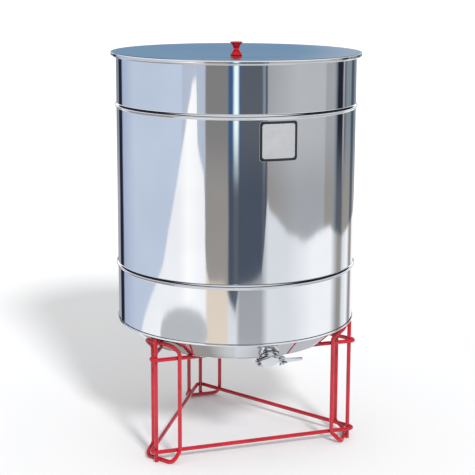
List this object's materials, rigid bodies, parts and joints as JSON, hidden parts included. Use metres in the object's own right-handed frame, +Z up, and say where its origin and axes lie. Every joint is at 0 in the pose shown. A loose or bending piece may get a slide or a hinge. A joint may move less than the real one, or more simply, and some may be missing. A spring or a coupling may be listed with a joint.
{
  "type": "vertical storage tank",
  "caption": "Round polished steel storage tank with a loose lid and a bottom outlet gate, on a low red stand of bent round bar.",
  "frame": {"origin": "the point on the floor under the tank's axis", "axes": "+Z up along the tank's axis, -Y the side of the outlet gate, +X to the right when facing the gate"},
  "size_m": [0.876, 0.8784, 1.4253],
  "materials": {
    "polished_steel": "mirror-polished stainless sheet",
    "red_plastic": "gloss red moulded plastic",
    "black_rubber": "black gasket rubber",
    "label_silver": "blank silver foil with a black border",
    "red_paint": "gloss red paint on round steel bar"
  },
  "bodies": {
    "root": {"shell_stave_01": "polished_steel", "shell_stave_02": "polished_steel", "shell_stave_03": "polished_steel", "shell_stave_04": "polished_steel", "shell_stave_05": "polished_steel", "shell_stave_06": "polished_steel", "shell_stave_07": "polished_steel", "shell_stave_08": "polished_steel", "shell_stave_09": "polished_steel", "shell_stave_10": "polished_steel", "shell_stave_11": "polished_steel", "shell_stave_12": "polished_steel", "rolled_rim": "polished_steel", "bottom_seam": "polished_steel", "bottom_cone": "polished_steel", "bottom_plate": "polished_steel", "outlet_pipe": "polished_steel", "gate_collar": "polished_steel", "union_nut": "polished_steel", "gate_seat": "polished_steel", "pivot_stud": "polished_steel", "pivot_wing_nut": "polished_steel", "clamp_stud": "polished_steel", "clamp_wing_nut": "polished_steel", "outlet_gasket": "black_rubber", "label_plate": "label_silver", "leg_loop_front_left": "red_paint", "leg_post_front_left": "red_paint", "leg_loop_front_right": "red_paint", "leg_post_front_right": "red_paint", "leg_loop_back": "red_paint", "leg_post_back": "red_paint", "stand_ring_lower": "red_paint", "stand_ring_upper": "red_paint"},
    "lid": {"lid_panel": "polished_steel", "lid_skirt": "polished_steel", "lid_knob": "red_plastic"},
    "gate": {"gate_blade": "polished_steel"}
  },
  "joints": [
    {"name": "lid_lift", "type": "slide", "parent": "root", "child": "lid", "axis": [0, 0, 1], "range_m": [0, 0.3]},
    {"name": "gate_swing", "type": "hinge", "parent": "root", "child": "gate", "pos_m": [-0.041, -0.41756, 0.38963], "axis": [0, -0.7071, -0.7071], "range_deg": [0, 75]}
  ]
}
